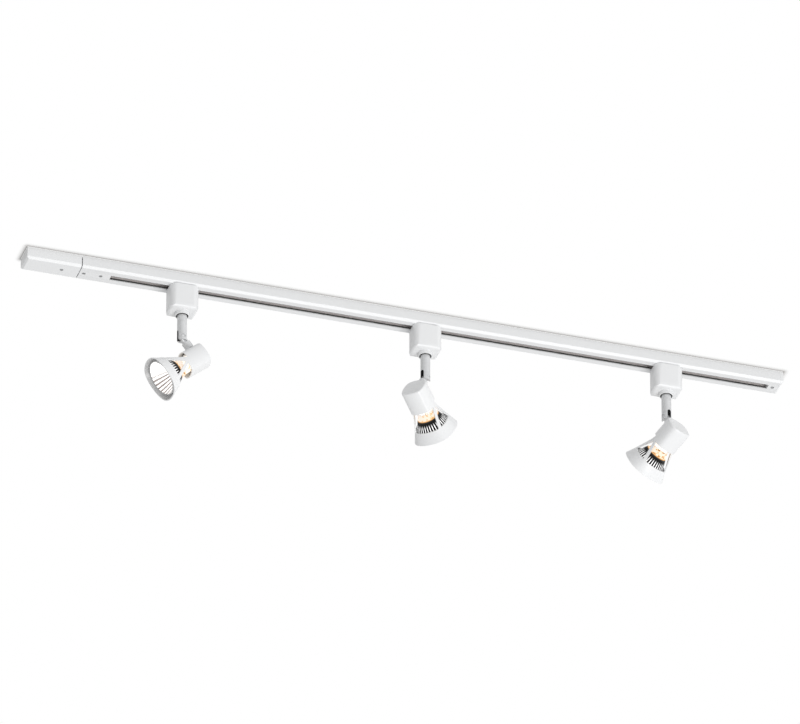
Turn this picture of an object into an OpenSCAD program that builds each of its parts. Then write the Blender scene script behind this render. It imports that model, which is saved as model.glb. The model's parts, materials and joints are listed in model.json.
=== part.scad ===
// Ceiling track kit: a surface-mounted track with a live-end feed and three spot heads.
// The origin is the middle of the track's ceiling face. +X runs along the track away from
// the feed, +Z points up at the ceiling, and the heads hang below.

/* [Track] */
// Overall length, from the feed's end wall to the end cap
track_len = 1124; // [1090:1:2400]
// Width of the track, and of the feed
track_w = 35; // [32:0.5:48]
// Height of the track below the ceiling
track_h = 18; // [17:0.5:26]
// Wall of the extruded channel
track_wall = 1.5; // [1:0.1:2]
// Bevel along the two lower edges
track_bevel = 3.2; // [1:0.1:5]
// Width of the slot that the heads hang in
slot_w = 11; // [10:0.5:13.5]
// Width of each lip, from the slot's edge to the insulator
lip_w = 4; // [3.5:0.5:5]
// Thickness of the copper strips
copper_t = 1.2; // [0.8:0.1:2]
// Height of the copper strips
copper_h = 4; // [3:0.5:5]
// Depth of the strips below the ceiling, to their middle
copper_drop = 9.6; // [8:0.2:12]
// Diameter of the ceiling screw holes
ceiling_hole_d = 4.6; // [3:0.1:6]
// Distance from each slot end to the outer ceiling holes
outer_hole_in = 62; // [40:1:64]

/* [Feed and end cap] */
// Length of the feed's cover
feed_len = 80; // [76:1:140]
// Wall of the feed's cover
cover_wall = 1.6; // [1:0.1:2.5]
// Gap at the seam between the feed and the track
seam_gap = 1.2; // [0.2:0.1:1.5]
// Length of the feed's tongue, past the cover
tongue_len = 46.5; // [40:0.5:60]
// Diameter of the knock-out for the supply cable
knockout_d = 22; // [16:1:24]
// Distance from the feed's end wall to the middle of the knock-out
knockout_in = 22; // [20:1:26]
// Length of the terminal block, along the track
terminal_len = 16; // [12:1:18]
// Width of the terminal block
terminal_w = 22; // [18:0.5:24]
// Distance between neighbouring terminals
terminal_pitch = 7; // [5:0.5:8]
// Length of the tongue's part inside the feed
tongue_back = 18; // [12:1:18]
// Diameter of the heads of the small screws
small_head_d = 5; // [4:0.1:6]
// Diameter of the shanks of the small screws
small_shank_d = 2.4; // [2:0.1:3]
// Height of the heads of the small screws
small_head_h = 1.1; // [0.8:0.1:1.4]
// Length of the small screws
small_len = 8; // [6:0.5:9]
// Diameter of the screw posts
post_d = 6; // [5:0.5:8]
// Thickness of the end cap's outer wall
end_wall = 4; // [3.5:0.1:6]
// Length of the end cap's tongue in the slot
end_tongue_len = 14; // [13:0.5:40]

/* [Places of the heads] */
// Distance from the feed's end wall to the first stem
first_head_in = 233; // [225:1:245]
// Distance between neighbouring stems
head_pitch = 360; // [330:1:365]
// Directions that the three lamps aim at, from +X towards +Y
aim = [183, 28, 110]; // [-60:1:240]
// Angles that the three knuckles are tipped, from a level lamp towards one that points down
dip = [38.3, 28.3, 29]; // [0:0.1:90]
// Angles that the three lamps are turned on their knuckles
turn = [-4.6, 16, 7]; // [-60:0.1:60]

/* [Adapter] */
// Length of the adapter's housing along the track
housing_l = 42; // [40:0.5:60]
// Depth of the housing, across the track
housing_w = 35; // [30:0.5:44]
// Height of the housing, without its boss
housing_h = 38; // [30:0.5:50]
// Radius of the housing's upright corners
housing_r = 10; // [6:0.5:12]
// Radius of the housing's lower edges
housing_edge = 6; // [3:0.5:8]
// Wall of the housing
housing_wall = 2; // [1.4:0.1:3]
// Width of the boss's rim around the recess
boss_wall = 1.2; // [0.8:0.1:4]
// Height of the boss
boss_h = 5.5; // [4.5:0.5:8]
// Width of the gap between the stem and the boss's rim
recess_gap = 1.8; // [1.5:0.1:2.4]
// Depth of the recess
recess_h = 3; // [2:0.1:4]
// Length of the neck that stands in the slot
neck_l = 30; // [24:1:38]
// Thickness of the lugs that carry the head on the slot's lips
lug_t = 2.4; // [2:0.1:4]
// Thickness of the neck's plate inside the housing
plate_t = 2.2; // [1.6:0.1:3]
// Diameter of the wire way through the neck
wire_way_d = 6; // [4:0.5:7]
// Length of each contact tab along the track
contact_l = 12; // [8:1:16]

/* [Stem] */
// Diameter of the stem
stem_d = 14; // [11.5:0.5:16]
// Diameter of the wire way in the stem
stem_bore_d = 8; // [5:0.5:8.5]
// Length of the stem below the boss
stem_drop = 41; // [34:0.1:70]
// Length of the stem's upper tube below the boss
stem_upper = 9; // [6:0.5:14]
// Width of the fork's slot
fork_slot_w = 6; // [3:0.1:6.2]
// Height of the fork's slot above the knuckle's tongue
fork_slot_over = 3; // [0:0.5:4]
// Distance from the pivot to the stem's lower end
pivot_up = 5; // [4.5:0.1:8]
// Diameter of the pivot screw
pivot_d = 3; // [2.5:0.1:3.4]
// Height of the heads of the pivot screw
pivot_head_h = 1.6; // [1.2:0.1:2]
// Length of the fork's spigot in the upper tube
spigot_up = 8; // [5:0.5:12]
// Height of the nut that keeps the stem in the housing
stem_nut_h = 4; // [3:0.5:6]
// Width of the stop lugs, as an angle
stop_angle = 16; // [8:1:30]

/* [Knuckle] */
// Distance from the pivot to the lamp's axis
knuckle_reach = 37.5; // [36.5:0.5:46]
// Diameter of the knuckle's barrel
barrel_d = 13; // [10:0.5:14]
// Distance from the pivot to the barrel's upper face
barrel_clear = 9.2; // [9:0.1:11]
// Half of the tongue's width, and the radius of its end
tongue_r = 4; // [3:0.1:4.5]
// Diameter of the spigot that goes through the cup's wall
spigot_d = 8; // [5:0.5:9]
// Diameter of the nut on the spigot
spigot_nut_d = 12; // [11:0.5:14]
// Height of the nut on the spigot
spigot_nut_h = 1.2; // [1:0.1:1.4]
// Distance from the cup's back to the middle of the knuckle
knuckle_in = 10.5; // [8:0.5:14]

/* [Lamp housing] */
// Half of the cup's width across its flats
cup_half = 17.8; // [16:0.1:21.5]
// How far each side's centre of curvature lies behind the lamp's axis
side_bulge = 18; // [15:1:80]
// Wall of the cup, the arms and the ring
shade_wall = 1.6; // [1.2:0.1:3]
// Length of the cup on the knuckle's side
cup_near = 31; // [24:0.5:34]
// Length of the cup on the other side
cup_far = 36; // [34:0.5:44]
// Distance from the cup's back to the ring
ring_from = 64; // [60:0.1:80]
// Distance from the cup's back to the ring's rim
rim_at = 80; // [79:0.1:96]
// Half of the rim's width across its flats
rim_half = 32; // [31:0.1:38]
// Distance from the cup's back to the start of the flare
flare_from = 38; // [30:0.5:46]
// Curve of the flare, where 1 is straight
flare_curve = 1.4; // [1:0.05:1.6]
// Width of each arm
arm_w = 5; // [3:0.1:7]
// Distance from the cup's back to the points of the side windows
side_window_from = 38; // [36:0.5:50]

/* [Lamp and socket] */
// Diameter of the lamp's face
lamp_d = 52; // [48:0.5:53]
// Distance from the cup's back to the lamp's face
lamp_face_at = 76.5; // [74:0.5:78]
// Length of the lamp without its pins
lamp_len = 50; // [48:0.5:52]
// How much wider the socket is than the lamp's neck
neck_step = 0.8; // [0.2:0.1:3]
// Length of the lamp's base behind its glass
base_len = 15; // [12:0.5:18]
// Wall of the reflector
reflector_wall = 1.4; // [1:0.1:2]
// Distance between the lamp's two pins
pin_pitch = 10; // [10:0.5:12]
// Diameter of the pins' heads
pin_head_d = 4.6; // [4:0.1:5]
// Length of the pins
pin_len = 7; // [6:0.5:8]
// Gap between the socket and the nut inside the cup
socket_gap = 1; // [0.5:0.1:2]
// Length of the socket
socket_l = 22; // [18:0.5:23]
// Diameter of the burner inside the reflector
burner_d = 9; // [7:0.5:12]

/* [Fits] */
// Gap between a head's pieces and the track
slide_gap = 0.4; // [0.3:0.05:0.8]
// Radial gap of the stem in the housing, and of the screw in the knuckle
running_gap = 0.06; // [0.02:0.01:0.1]
// Gap on each side of the knuckle's tongue
tongue_gap = 0.2; // [0.1:0.05:0.4]
// Gap between fixed pieces that are seated in each other
seat_gap = 0.1; // [0.05:0.05:0.2]

/* [Hidden] */
$fn = 64;
HEADS = ["left", "middle", "right"];
TRACK_NODES = ["track_channel", "insulator_strips", "copper_strips", "feed_base", "feed_cover",
    "feed_tongue", "terminal_block", "terminal_screws", "feed_contacts", "end_cap", "track_screws"];
HEAD_NODES = ["adapter_housing", "adapter_neck", "adapter_contacts", "stem_tube", "stem_nut",
    "stem_fork", "pivot_screw", "knuckle", "spigot_nut", "lamp_housing", "lamp_socket",
    "socket_screws", "lamp_base", "lamp_reflector", "lamp_glass", "lamp_burner"];

WHITE = [0.93, 0.93, 0.94];
LIGHT_GREY = [0.72, 0.73, 0.75];
STEEL = [0.62, 0.63, 0.65];
COPPER = [0.72, 0.45, 0.32];
BRASS = [0.8, 0.66, 0.35];
CERAMIC = [0.96, 0.95, 0.92];
GLASS = [0.85, 0.9, 0.95];
AMBER = [0.95, 0.75, 0.4];
DARK = [0.2, 0.2, 0.21];

x_start = -track_len / 2;
x_end = track_len / 2;
x_track = x_start + feed_len + seam_gap;
end_bevel = track_bevel - 0.6;
contact_t = 1;
contact_short = 6;
base_step = 2.2;
x_cap = x_end - end_wall;
x_slot_start = x_start + feed_len + tongue_len;
x_slot_end = x_cap - end_tongue_len;
x_knockout = x_start + knockout_in;
x_terminal = x_knockout + knockout_d / 2 + 2;
x_post = x_terminal + terminal_len + post_d / 2 + 1;
x_tongue = x_track - tongue_back;
x_contacts = x_tongue - 1.5;
tongue_screw_x = [x_track + 6.5, x_slot_start - 14];
cap_screw_x = x_cap - end_tongue_len / 2;
x_head = [for (i = [0:2]) x_start + first_head_in + i * head_pitch];
ceiling_holes = [x_slot_start + outer_hole_in - 20, x_head[0] + head_pitch / 2,
    x_head[1] + head_pitch / 2, x_slot_end - outer_hole_in];

cavity_w = slot_w + 2 * lip_w;
contact_y = cavity_w / 2 - 2;
tongue_half = slot_w / 2 - seat_gap;
neck_half = slot_w / 2 - slide_gap;
core_half = cavity_w / 2 - slide_gap;
lip_top = -track_h + track_wall;
far = 60;

z_housing = -track_h - slide_gap;
z_floor = z_housing - housing_h;
z_boss = z_floor - boss_h;
z_stem_end = z_boss - stem_drop;
z_pivot = z_stem_end + pivot_up;
z_joint = z_boss - stem_upper;
boss_gap = 0.4;
recess_d = stem_d + 2 * recess_gap;
boss_d = recess_d + 2 * boss_wall;
plate_in = housing_wall + seat_gap;
nut_gap = 0.3;
z_nut = z_floor + housing_wall + nut_gap;
z_stem_top = z_nut + stem_nut_h + 2;
stop_inner = stem_d / 2 + nut_gap;
stop_outer = recess_d / 2 - nut_gap;
stop_at = 270;
pivot_head_d = 2 * pivot_d;
ear_reach = sqrt(pow(stem_d / 2, 2) - pow(pivot_head_d / 2, 2));

inner_bow = side_bulge + cup_half - shade_wall;
nut_sag = inner_bow - sqrt(pow(inner_bow, 2) - pow(spigot_nut_d / 2, 2));
spigot_end = -knuckle_reach + cup_half - shade_wall - nut_sag - spigot_nut_h;
lamp_back_at = lamp_face_at - lamp_len;
socket_d = 2 * (cup_half - shade_wall - spigot_nut_h - nut_sag - socket_gap);
lamp_neck_d = socket_d - neck_step;
neck_end_at = lamp_back_at + base_len + 6;
socket_from = lamp_back_at - seat_gap - socket_l;
screw_off = socket_d / 2 - 4;
screw_seat = 6;
face_t = 2;

// The half width of the lamp housing across its flats, at w from the cup's back.
function shade_half(w) = cup_half + (rim_half - cup_half)
    * pow(max(0, (w - flare_from) / (rim_at - flare_from)), flare_curve);

// The outer radius of the lamp's reflector, at w from the cup's back.
function reflector_r(w) = lamp_neck_d / 2 + (lamp_d / 2 - lamp_neck_d / 2)
    * pow(max(0, min(1, (w - neck_end_at) / (lamp_face_at - face_t - neck_end_at))), 0.72);

// Keeps what lies inside an end at x whose lower edge is bevelled; side is 1 where the end
// faces +X and -1 where it faces -X.
module bevelled_end(x, side) intersection() {
    children();
    rotate([90, 0, 0]) linear_extrude(2 * track_w, center = true) polygon([
        [x + side, 1],
        [x + side, -track_h + end_bevel + 1],
        [x - side * (end_bevel + 1), -track_h - 1],
        [x - side * track_len, -track_h - 1],
        [x - side * track_len, 1],
    ]);
}

module along_x(x1, x2) translate([x1, 0, 0]) rotate([90, 0, 90]) linear_extrude(x2 - x1) children();

// The outline of the track's outer shape, in Y and Z.
module track_outline(inset = 0)
    polygon([
        [-track_w / 2 + inset, 0],
        [-track_w / 2 + inset, -track_h + track_bevel + inset * 0.4],
        [-track_w / 2 + track_bevel + inset * 0.4, -track_h + inset],
        [track_w / 2 - track_bevel - inset * 0.4, -track_h + inset],
        [track_w / 2 - inset, -track_h + track_bevel + inset * 0.4],
        [track_w / 2 - inset, 0],
    ]);

module box_yz(half_w, z_low, z_high) translate([-half_w, z_low]) square([2 * half_w, z_high - z_low]);

module track_channel() color(WHITE) difference() {
    along_x(x_track, x_cap) difference() {
        track_outline();
        intersection() {
            track_outline(track_wall);
            box_yz(track_w, -track_h, -track_wall);
        }
        box_yz(slot_w / 2, -track_h - 1, -track_wall - 1);
    }
    for (x = ceiling_holes) translate([x, 0, -track_wall - 1])
        cylinder(d = ceiling_hole_d, h = track_wall + 2);
}

// One moulded insulator, which fills the side of the channel and holds a copper strip.
module insulator_outline() difference() {
    intersection() {
        track_outline(track_wall + seat_gap);
        translate([cavity_w / 2, lip_top + seat_gap])
            square([track_w, track_h - 2 * track_wall - 2 * seat_gap]);
    }
    translate([cavity_w / 2 - 1, -copper_drop - copper_h / 2 - seat_gap])
        square([2.6 + copper_t, copper_h + 2 * seat_gap]);
}

module insulator_strips() color(LIGHT_GREY)
    for (side = [0, 1]) mirror([0, side, 0]) along_x(x_track + 2, x_cap - 2) insulator_outline();

module copper_strips() color(COPPER)
    for (side = [0, 1]) mirror([0, side, 0]) along_x(x_track + 6, x_cap - 6)
        translate([cavity_w / 2 + 1.4, -copper_drop - copper_h / 2]) square([copper_t, copper_h]);

module feed_base() color(LIGHT_GREY) difference() {
    union() {
        along_x(x_start + cover_wall + seat_gap, x_track - seam_gap)
            box_yz(track_w / 2 - cover_wall - seat_gap, -cover_wall, 0);
        // The post that takes the cover's screw.
        translate([x_post, 0, -track_h + cover_wall + 0.5])
            cylinder(d = post_d, h = track_h - cover_wall - 0.5 - cover_wall / 2);
    }
    translate([x_knockout, 0, -cover_wall - 1]) cylinder(d = knockout_d, h = cover_wall + 2);
    translate([x_post, 0, -track_h]) cylinder(d = small_shank_d, h = track_h - cover_wall);
}

module feed_cover() color(WHITE) difference() {
    bevelled_end(x_start, -1) along_x(x_start, x_start + feed_len) track_outline();
    along_x(x_start + end_bevel + cover_wall / 2, x_start + feed_len + 1) intersection() {
        track_outline(cover_wall);
        box_yz(track_w, -track_h, 1);
    }
    translate([x_start + cover_wall, -track_w / 2 + cover_wall, -base_step])
        cube([feed_len, track_w - 2 * cover_wall, base_step + 1]);
    translate([x_post, 0, -track_h - 1])
        cylinder(d = small_shank_d + 2 * seat_gap, h = cover_wall + 2);
    translate([x_post, 0, -track_h - 1])
        cylinder(d = small_head_d + 2 * seat_gap, h = small_head_h + 1);
}

// A cheese-head screw whose head's top is at z = 0 and whose shank points up.
module small_screw(shank) difference() {
    union() {
        cylinder(d = small_head_d, h = small_head_h);
        cylinder(d = small_shank_d, h = shank);
    }
    translate([-small_head_d, -0.4, -0.5]) cube([2 * small_head_d, 0.8, 1]);
}

// A plug that fills the slot and the middle of the channel, from x1 to x2.
module slot_plug(x1, x2) {
    along_x(x1, x2) box_yz(tongue_half, -track_h, lip_top + seat_gap);
    along_x(x1, x2) box_yz(cavity_w / 2 - seat_gap, lip_top + seat_gap, -copper_drop + copper_h / 2 + 1);
}

module feed_tongue() color(WHITE) difference() {
    slot_plug(x_tongue, x_slot_start);
    translate([x_tongue - 1, -track_w, -track_h - 1]) cube([tongue_back + 1, 2 * track_w, track_wall + 2]);
    for (x = tongue_screw_x) translate([x, 0, -track_h - 1]) {
        cylinder(d = small_head_d + 2 * seat_gap, h = small_head_h + 1);
        cylinder(d = small_shank_d + 2 * seat_gap, h = small_len + 2);
    }
    for (side = [-1, 1]) contact_strip(side, feed_len, 0);
}

// A flat strip beside the channel's wall; each of its sides is set in by gap.
module contact_strip(side, length, gap)
    translate([x_contacts, side * contact_y - contact_t / 2 + gap, -copper_drop - copper_h / 2 + gap])
        cube([length, contact_t - 2 * gap, copper_h - 2 * gap]);

module feed_contacts() color(BRASS)
    for (side = [-1, 1]) contact_strip(side, tongue_back + tongue_len - contact_short, seat_gap);

terminal_lift = cover_wall + 2;
terminal_z = -track_h + terminal_lift;
terminal_h = track_h - terminal_lift - cover_wall;
terminal_bore_d = 3.4;

module at_terminal(end, pole)
    translate([x_terminal + (2 + end) * terminal_len / 4, pole * terminal_pitch, terminal_z]) children();

module terminal_block() color(CERAMIC) difference() {
    translate([x_terminal, -terminal_w / 2, terminal_z]) cube([terminal_len, terminal_w, terminal_h]);
    for (pole = [-1:1]) {
        translate([x_terminal - 1, pole * terminal_pitch, terminal_z + terminal_h / 2])
            rotate([0, 90, 0]) cylinder(d = terminal_bore_d, h = terminal_len + 2);
        for (end = [-1, 1]) at_terminal(end, pole) translate([0, 0, -1])
            cylinder(d = terminal_bore_d, h = terminal_h / 2 + 1);
    }
}

module terminal_screws() color(BRASS) for (pole = [-1:1]) for (end = [-1, 1])
    at_terminal(end, pole) translate([0, 0, boss_gap]) difference() {
        cylinder(d = terminal_bore_d - 2 * running_gap, h = 2.8);
        translate([-terminal_bore_d, -0.3, -0.1]) cube([2 * terminal_bore_d, 0.6, 0.9]);
    }

module end_cap() color(WHITE) difference() {
    union() {
        bevelled_end(x_end, 1) along_x(x_cap, x_end) track_outline();
        slot_plug(x_slot_end, x_cap + 0.5);
    }
    translate([cap_screw_x, 0, -track_h - 1]) {
        cylinder(d = small_head_d + 2 * seat_gap, h = small_head_h + 1);
        cylinder(d = small_shank_d + 2 * seat_gap, h = small_len + 2);
    }
}

// The four identical screws of the cover, the tongue and the end cap.
module track_screws() color(DARK)
    for (x = concat([x_post], tongue_screw_x, [cap_screw_x]))
        translate([x, 0, -track_h]) small_screw(small_len);

// A rectangle with round corners.
module round_rect(l, w, r) {
    square([l - 2 * r, w], center = true);
    square([l, w - 2 * r], center = true);
    for (x = [-1, 1]) for (y = [-1, 1]) translate([x * (l / 2 - r), y * (w / 2 - r)]) circle(r);
}

// An upright face with round lower corners, from z = 0 down to z = -h.
module round_foot(l, h, r) {
    translate([-l / 2, -h + r]) square([l, h - r]);
    translate([-l / 2 + r, -h]) square([l - 2 * r, r + 0.1]);
    for (x = [-1, 1]) translate([x * (l / 2 - r), -h + r]) circle(r);
}

// A block with round upright corners and round lower edges, from z = 0 down.
module soft_block(l, w, h, r, edge) intersection() {
    translate([0, 0, -h]) linear_extrude(h) round_rect(l, w, r);
    rotate([90, 0, 0]) linear_extrude(2 * w, center = true) round_foot(l, h, edge);
    rotate([90, 0, 90]) linear_extrude(2 * l, center = true) round_foot(w, h, edge);
}

module at_head(i) translate([x_head[i], 0, 0]) children();
module on_stem(i) at_head(i) rotate([0, 0, aim[i]]) children();
// In the knuckle's frame the pivot is the origin and +Z points from the lamp to the pivot.
module on_knuckle(i) on_stem(i) translate([0, 0, z_pivot]) rotate([0, dip[i], 0]) children();
// Along the lamp's own axis, z runs forward from the cup's back and -X faces the knuckle.
module on_axis(i) on_knuckle(i) rotate([0, 0, turn[i]])
    translate([-knuckle_in, 0, -knuckle_reach]) rotate([0, 90, 0]) children();

// A sector of a ring, for the two stop lugs.
module stop_lug(inner, outer, z_low, h) intersection() {
    translate([0, 0, z_low]) difference() {
        cylinder(r = outer, h = h);
        translate([0, 0, -1]) cylinder(r = inner, h = h + 2);
    }
    translate([0, 0, z_low - 1]) linear_extrude(h + 2)
        polygon([[0, 0], [20, -20 * tan(stop_angle / 2)], [20, 20 * tan(stop_angle / 2)]]);
}

module adapter_housing(i) color(WHITE) at_head(i) {
    difference() {
        union() {
            translate([0, 0, z_housing])
                soft_block(housing_l, housing_w, housing_h, housing_r, housing_edge);
            translate([0, 0, z_boss]) cylinder(d = boss_d, h = boss_h + 1);
        }
        translate([0, 0, z_housing + 1])
            soft_block(housing_l - 2 * housing_wall, housing_w - 2 * housing_wall,
                housing_h - housing_wall + 1, housing_r - housing_wall, housing_edge - housing_wall / 2);
        translate([0, 0, z_boss - 1]) cylinder(d = stem_d + 2 * running_gap, h = boss_h + housing_wall + 2);
        translate([0, 0, z_boss - 1]) cylinder(d = recess_d, h = recess_h + 1);
    }
    rotate([0, 0, stop_at]) stop_lug(stop_inner, recess_d / 2 + 0.5, z_boss + boss_gap, recess_h);
}

module adapter_neck(i) color(WHITE) at_head(i) {
    difference() {
        union() {
            translate([0, 0, z_housing - plate_t]) linear_extrude(plate_t)
                round_rect(housing_l - 2 * plate_in, housing_w - 2 * plate_in, housing_r - plate_in);
            translate([-neck_l / 2, -neck_half, z_housing - 0.5])
                cube([neck_l, 2 * neck_half, track_h + slide_gap + 0.5 - copper_drop + copper_h / 2 + 1]);
            translate([-neck_l / 2, -core_half + 0.6, lip_top + slide_gap])
                cube([neck_l, 2 * core_half - 1.2, lug_t]);
        }
        translate([-contact_l / 2 - seat_gap, -core_half, -copper_drop - copper_h / 2 + 0.2])
            cube([contact_l + 2 * seat_gap, 2 * core_half, copper_h]);
        // The wire way down into the housing.
        translate([0, 0, z_housing - plate_t - 1]) cylinder(d = wire_way_d, h = track_h - copper_drop + 2);
    }
}

module adapter_contacts(i) color(BRASS) at_head(i) for (side = [0, 1]) mirror([0, side, 0])
    translate([-contact_l / 2, 1, -copper_drop - copper_h / 2 + 0.6])
        cube([contact_l, cavity_w / 2 - 1 + 0.9, copper_h - 1.2]);

module stem_tube(i) color(STEEL) on_stem(i) difference() {
    union() {
        translate([0, 0, z_joint]) cylinder(d = stem_d, h = z_stem_top - z_joint);
        stop_lug(stem_d / 2 - 0.5, stop_outer, z_boss + boss_gap, recess_h - 2 * boss_gap);
    }
    translate([0, 0, z_joint - 1]) cylinder(d = stem_bore_d, h = z_stem_top - z_joint + 2);
}

module stem_nut(i) color(STEEL) on_stem(i) translate([0, 0, z_nut]) difference() {
    cylinder(d = stem_d * 2 / sqrt(3) + 5, h = stem_nut_h, $fn = 6);
    translate([0, 0, -1]) cylinder(d = stem_d, h = stem_nut_h + 2);
}

module fork_slot() {
    straight = tongue_r + tongue_gap + fork_slot_over;
    translate([-stem_d, -fork_slot_w / 2, -pivot_up - 1])
        cube([2 * stem_d, fork_slot_w, straight + pivot_up + 1]);
    translate([0, 0, straight]) rotate([0, 90, 0]) cylinder(d = fork_slot_w, h = 2 * stem_d, center = true);
}

module stem_fork(i) color(STEEL) on_stem(i) difference() {
    union() {
        translate([0, 0, z_stem_end]) cylinder(d = stem_d, h = z_joint - z_stem_end);
        translate([0, 0, z_joint - 0.1]) cylinder(d = stem_bore_d - 2 * seat_gap, h = spigot_up);
    }
    translate([0, 0, z_pivot]) fork_slot();
    translate([0, 0, z_pivot]) cylinder(d = stem_bore_d / 2, h = stem_drop);
    translate([0, 0, z_pivot]) rotate([90, 0, 0]) {
        cylinder(d = pivot_d, h = 2 * stem_d, center = true);
        for (end = [0, 1]) mirror([0, 0, end]) translate([0, 0, ear_reach - pivot_head_h])
            cylinder(d = pivot_head_d + 2 * seat_gap, h = stem_d);
    }
}

module pivot_screw(i) color(STEEL) on_stem(i) translate([0, 0, z_pivot]) rotate([90, 0, 0]) {
    difference() {
        union() {
            cylinder(d = pivot_d, h = 2 * ear_reach - 1, center = true);
            translate([0, 0, ear_reach - pivot_head_h]) cylinder(d = pivot_head_d, h = pivot_head_h);
        }
        translate([-pivot_head_d, -0.4, ear_reach - 0.8]) cube([2 * pivot_head_d, 0.8, 2]);
    }
    translate([0, 0, -ear_reach]) difference() {
        cylinder(d = pivot_head_d, h = pivot_head_h, $fn = 6);
        translate([0, 0, -1]) cylinder(d = pivot_d, h = pivot_head_h + 2);
    }
}

module knuckle(i) color(STEEL) on_knuckle(i) {
    tongue_t = fork_slot_w - 2 * tongue_gap;
    barrel_low = -knuckle_reach + cup_half;
    difference() {
        union() {
            rotate([90, 0, 0]) cylinder(r = tongue_r, h = tongue_t, center = true);
            translate([-tongue_r, -tongue_t / 2, -barrel_clear - 0.5])
                cube([2 * tongue_r, tongue_t, barrel_clear + 0.5]);
            translate([0, 0, barrel_low]) cylinder(d = barrel_d, h = -barrel_clear - barrel_low);
            translate([0, 0, spigot_end]) cylinder(d = spigot_d, h = barrel_low - spigot_end + 1);
        }
        rotate([90, 0, 0]) cylinder(d = pivot_d + 2 * running_gap, h = 2 * tongue_t, center = true);
    }
}

// The nut inside the cup, which holds the lamp housing on the knuckle's spigot.
module spigot_nut(i) color(STEEL) on_knuckle(i) translate([0, 0, spigot_end]) difference() {
    cylinder(d = spigot_nut_d, h = spigot_nut_h);
    translate([0, 0, -1]) cylinder(d = spigot_d, h = spigot_nut_h + 2);
    for (slot = [0, 90]) rotate([0, 0, slot]) translate([-spigot_nut_d, -0.6, -1])
        cube([2 * spigot_nut_d, 1.2, 1.5]);
}

// The lamp housing's body between w1 and w2, inset by its wall: four bowed sides that meet
// at the corners.
module bowed_body(w1, w2, inset, steps) {
    stops = [w1, max(w1 + 0.1, flare_from), for (k = [1:steps]) flare_from + (w2 - flare_from) * k / steps];
    outline = [for (w = stops) [side_bulge + shade_half(w) - inset, w]];
    intersection_for (quarter = [0:90:270]) rotate([0, 0, quarter]) translate([-side_bulge, 0, 0])
        rotate_extrude($fn = 128) polygon(concat([[0, w1]], outline, [[0, w2]]));
}

// A window through the housing from side to side, drawn in x and w.
module side_cut(points) rotate([90, 0, 0]) linear_extrude(4 * rim_half, center = true) polygon(points);

module lamp_housing(i) color(WHITE) on_axis(i) {
    edge_root = arm_w * 0.9;
    edge_ring = shade_half(ring_from) - arm_w;
    difference() {
        bowed_body(0, rim_at, 0, 5);
        bowed_body(shade_wall, rim_at + 1, shade_wall, 5);
        side_cut([[-edge_root, cup_near], [-far, cup_near], [-far, ring_from], [-edge_ring, ring_from]]);
        side_cut([[edge_root, cup_far], [far, cup_far], [far, ring_from], [edge_ring, ring_from]]);
        side_cut([[0, side_window_from], [-edge_ring + arm_w, ring_from], [edge_ring - arm_w, ring_from]]);
        translate([-cup_half - 5, 0, knuckle_in]) rotate([0, 90, 0])
            cylinder(d = spigot_d + 2 * running_gap, h = 10);
    }
    // The two posts that the socket stands on.
    for (side = [-1, 1]) translate([side * screw_off, 0, shade_wall - 0.2])
        difference() {
            cylinder(d = post_d, h = socket_from - shade_wall + 0.2);
            translate([0, 0, 0.6]) cylinder(d = small_shank_d, h = socket_from);
        }
}

module lamp_socket(i) color(CERAMIC) on_axis(i) translate([0, 0, socket_from]) difference() {
    cylinder(d = socket_d, h = socket_l);
    for (side = [-1, 1]) {
        translate([0, side * pin_pitch / 2, socket_l - pin_len - 2])
            cylinder(d = pin_head_d + 1, h = pin_len + 3);
        translate([side * screw_off, 0, -1])
            cylinder(d = small_shank_d + 2 * seat_gap, h = socket_l + 2);
        translate([side * screw_off, 0, screw_seat])
            cylinder(d = small_head_d + 2 * seat_gap, h = socket_l);
    }
}

module socket_screws(i) color(STEEL) on_axis(i) for (side = [-1, 1])
    translate([side * screw_off, 0, socket_from + screw_seat + small_head_h]) mirror([0, 0, 1])
        small_screw(small_len + 0.5);

module lamp_base(i) color(AMBER) on_axis(i) {
    translate([0, 0, lamp_back_at]) cylinder(d = lamp_neck_d - 3, h = base_len);
    for (side = [-1, 1]) translate([0, side * pin_pitch / 2, lamp_back_at - pin_len]) {
        cylinder(d = pin_head_d, h = 2.4);
        cylinder(d = pin_head_d - 1.6, h = pin_len + 1);
    }
}

module lamp_reflector(i) color(LIGHT_GREY) on_axis(i) rotate_extrude() {
    first = lamp_back_at + base_len + seat_gap;
    last = lamp_face_at - face_t;
    steps = 8;
    stops = [first, for (k = [0:steps]) neck_end_at + (last - neck_end_at) * k / steps];
    outer = [for (w = stops) [reflector_r(w), w]];
    inner = [for (k = [len(stops) - 1:-1:0]) [reflector_r(stops[k]) - reflector_wall, stops[k]]];
    lip_inner = lamp_d / 2 - reflector_wall;
    polygon(concat(outer, [[lamp_d / 2, lamp_face_at], [lip_inner, lamp_face_at]], inner));
}

module lamp_glass(i) color(GLASS, 0.4) on_axis(i) translate([0, 0, lamp_face_at - 1.8])
    cylinder(d = lamp_d - 2 * reflector_wall - 2 * seat_gap, h = 1.4);

module lamp_burner(i) color(GLASS) on_axis(i) translate([0, 0, lamp_back_at + base_len]) {
    cylinder(d = burner_d, h = 16);
    translate([0, 0, 16]) sphere(d = burner_d);
}

track_channel();
insulator_strips();
copper_strips();
feed_base();
feed_cover();
feed_tongue();
terminal_block();
terminal_screws();
feed_contacts();
end_cap();
track_screws();
for (i = [0:2]) {
    adapter_housing(i);
    adapter_neck(i);
    adapter_contacts(i);
    stem_tube(i);
    stem_nut(i);
    stem_fork(i);
    pivot_screw(i);
    knuckle(i);
    spigot_nut(i);
    lamp_housing(i);
    lamp_socket(i);
    socket_screws(i);
    lamp_base(i);
    lamp_reflector(i);
    lamp_glass(i);
    lamp_burner(i);
}
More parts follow.
